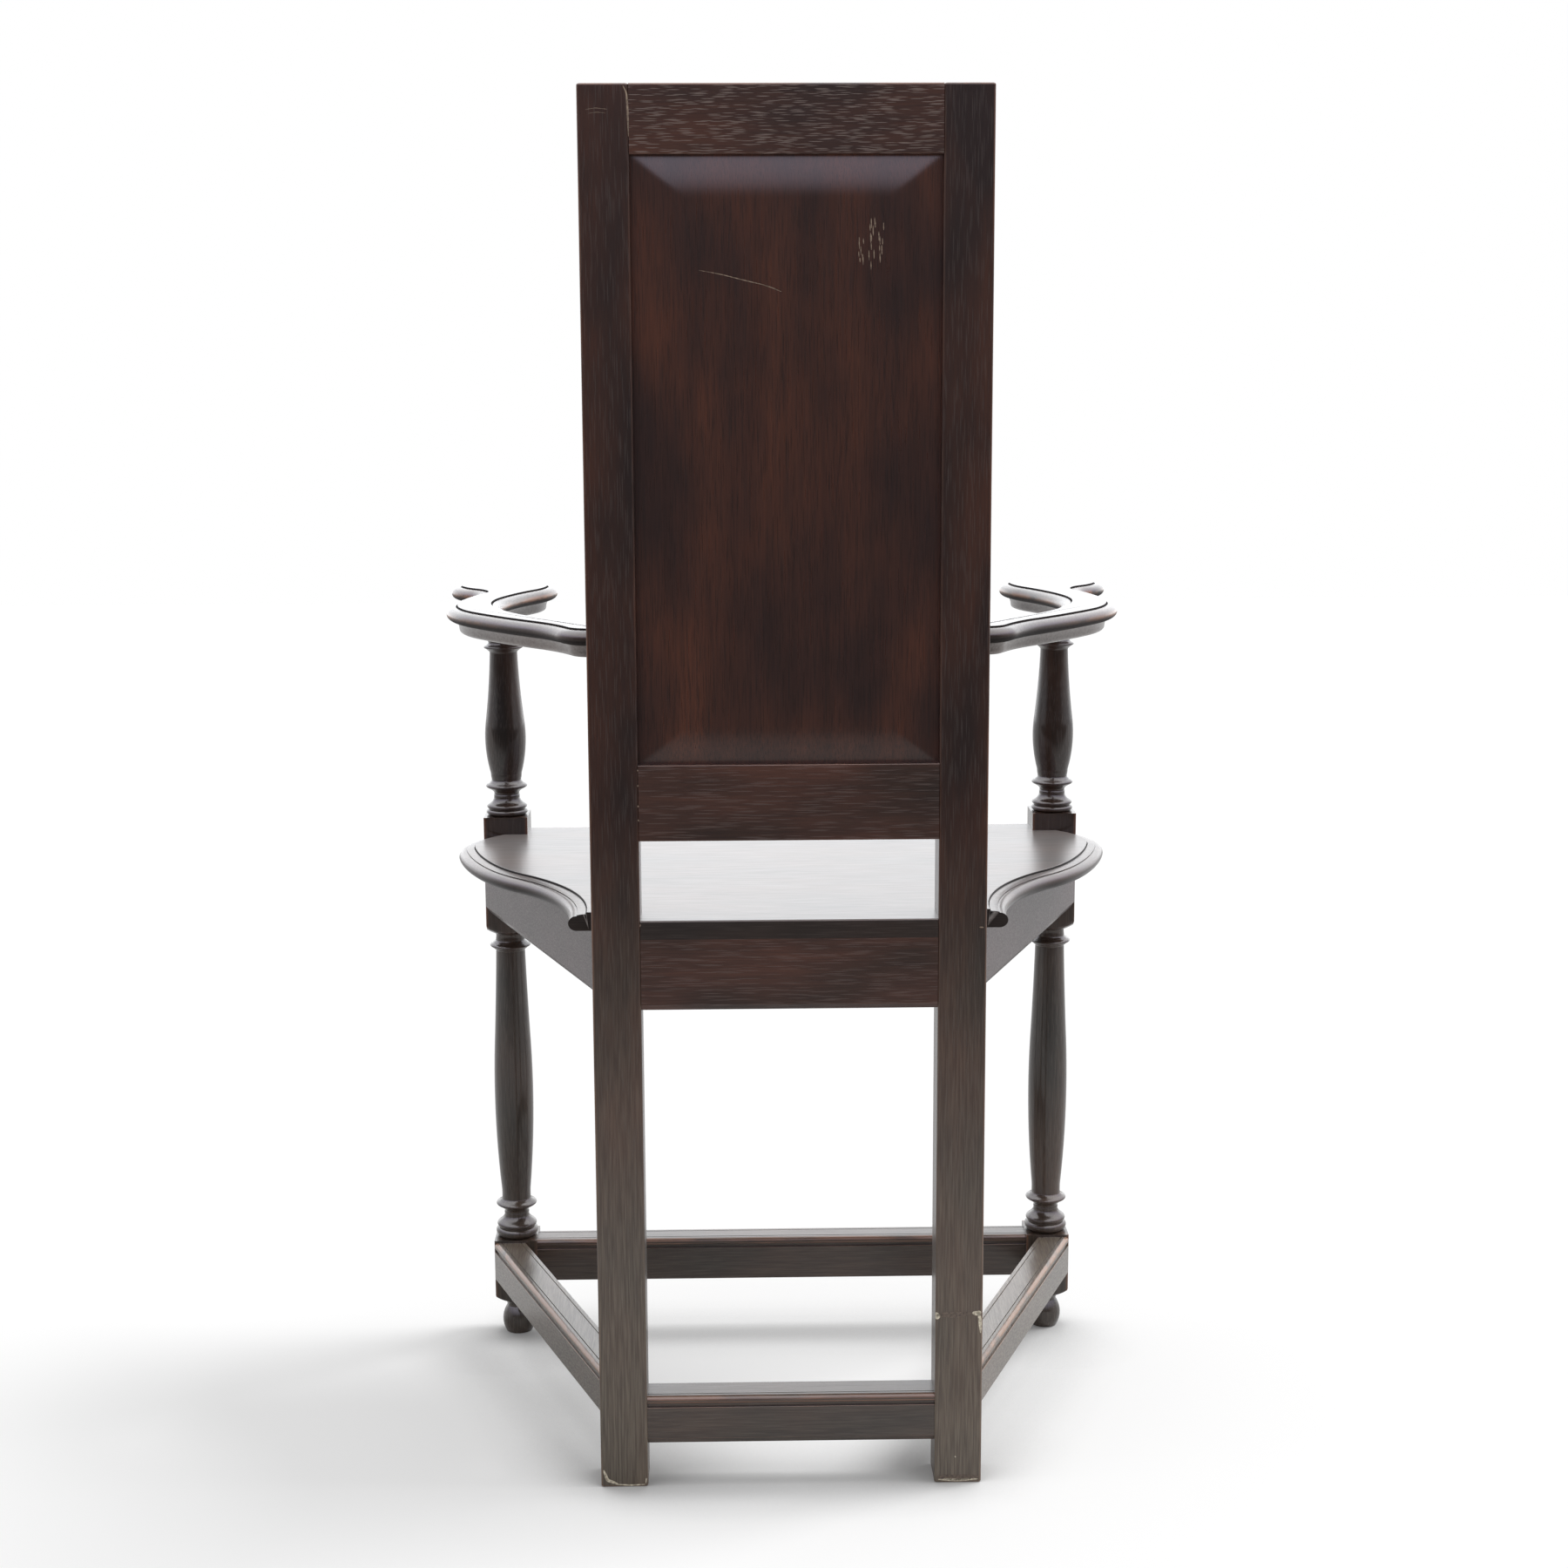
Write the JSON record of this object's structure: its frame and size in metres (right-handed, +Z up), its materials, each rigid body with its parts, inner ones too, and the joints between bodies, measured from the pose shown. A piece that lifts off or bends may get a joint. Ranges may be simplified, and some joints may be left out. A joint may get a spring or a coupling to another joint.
{
  "type": "armchair",
  "caption": "Joined dark oak armchair with a tall narrow panelled back, wedge-shaped seat, serpentine arms on turned front legs and low moulded stretchers.",
  "frame": {"origin": "middle of the footprint box, on the floor", "axes": "+Z up; the chair's front faces -Y; +X is the sitter's left"},
  "size_m": [0.6006, 0.4604, 1.0995],
  "materials": {
    "dark_oak": "fumed and stained oak with a satin wax finish",
    "worn_oak": "stained oak, waxed and polished by use",
    "panel_oak": "stained oak panel with a satin wax finish",
    "peg_oak": "riven oak pegs, stained and waxed over"
  },
  "bodies": {
    "root": {"arm_left": "worn_oak", "arm_right": "worn_oak", "back_panel": "panel_oak", "crest_rail": "dark_oak", "front_leg_left": "dark_oak", "front_leg_right": "dark_oak", "front_seat_rail": "dark_oak", "front_stretcher": "dark_oak", "lower_back_rail": "dark_oak", "rear_post_left": "dark_oak", "rear_post_right": "dark_oak", "rear_seat_rail": "dark_oak", "rear_stretcher": "dark_oak", "seat_board": "worn_oak", "side_seat_rail_left": "dark_oak", "side_seat_rail_right": "dark_oak", "side_stretcher_left": "dark_oak", "side_stretcher_right": "dark_oak", "pegs_arms": "peg_oak", "pegs_back_frame": "peg_oak", "pegs_front_rail": "peg_oak", "pegs_front_stretcher": "peg_oak", "pegs_side_rails": "peg_oak", "pegs_side_stretchers": "peg_oak"}
  },
  "joints": []
}
